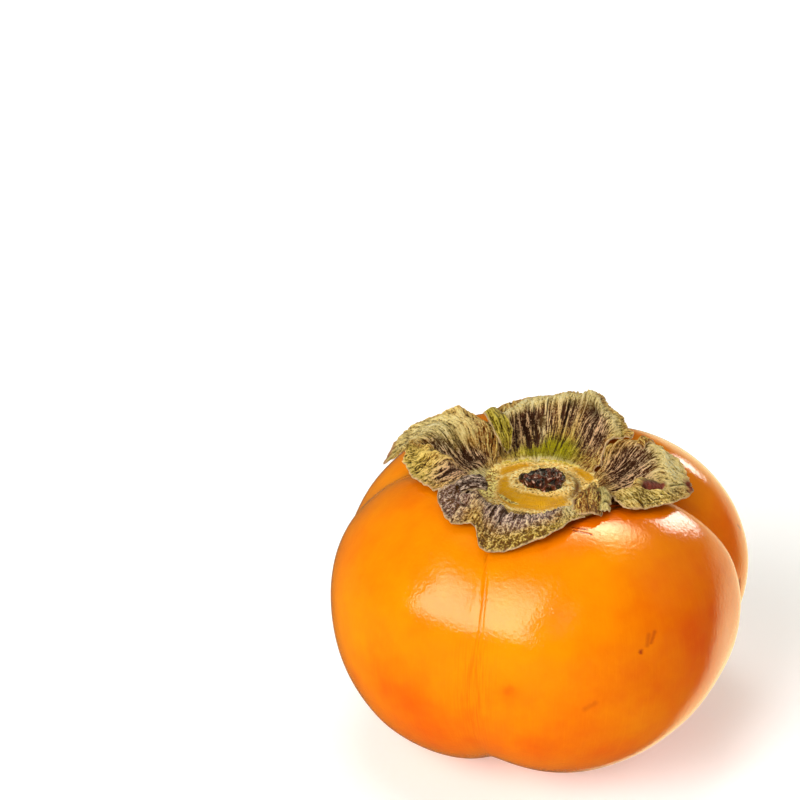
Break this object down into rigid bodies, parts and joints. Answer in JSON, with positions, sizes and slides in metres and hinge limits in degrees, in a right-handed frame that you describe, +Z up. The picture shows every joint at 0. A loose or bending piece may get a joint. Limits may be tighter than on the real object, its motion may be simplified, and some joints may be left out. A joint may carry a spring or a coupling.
{
  "type": "persimmon",
  "caption": "Ripe squat persimmon with shallow lobes, a curled dry calyx and a broken stalk, standing on its flattened blossom end.",
  "frame": {"origin": "bottom centre of the fruit's box, on the surface it stands on", "axes": "+Z up along the fruit's axis from the blossom end to the stalk, -Y towards the front, +X to the right seen from the front"},
  "size_m": [0.0768, 0.0772, 0.059],
  "materials": {
    "skin": "smooth waxy orange skin",
    "calyx_disc": "dull ochre, fibrous",
    "calyx_lobe": "dry, wrinkled, olive and purple brown",
    "stalk": "dark brown, broken"
  },
  "bodies": {
    "root": {"fruit_body": "skin", "calyx_disc": "calyx_disc", "calyx_lobe_front": "calyx_lobe", "calyx_lobe_right": "calyx_lobe", "calyx_lobe_back": "calyx_lobe", "calyx_lobe_left": "calyx_lobe", "stem_stub": "stalk", "style_remnant": "stalk"}
  },
  "joints": []
}
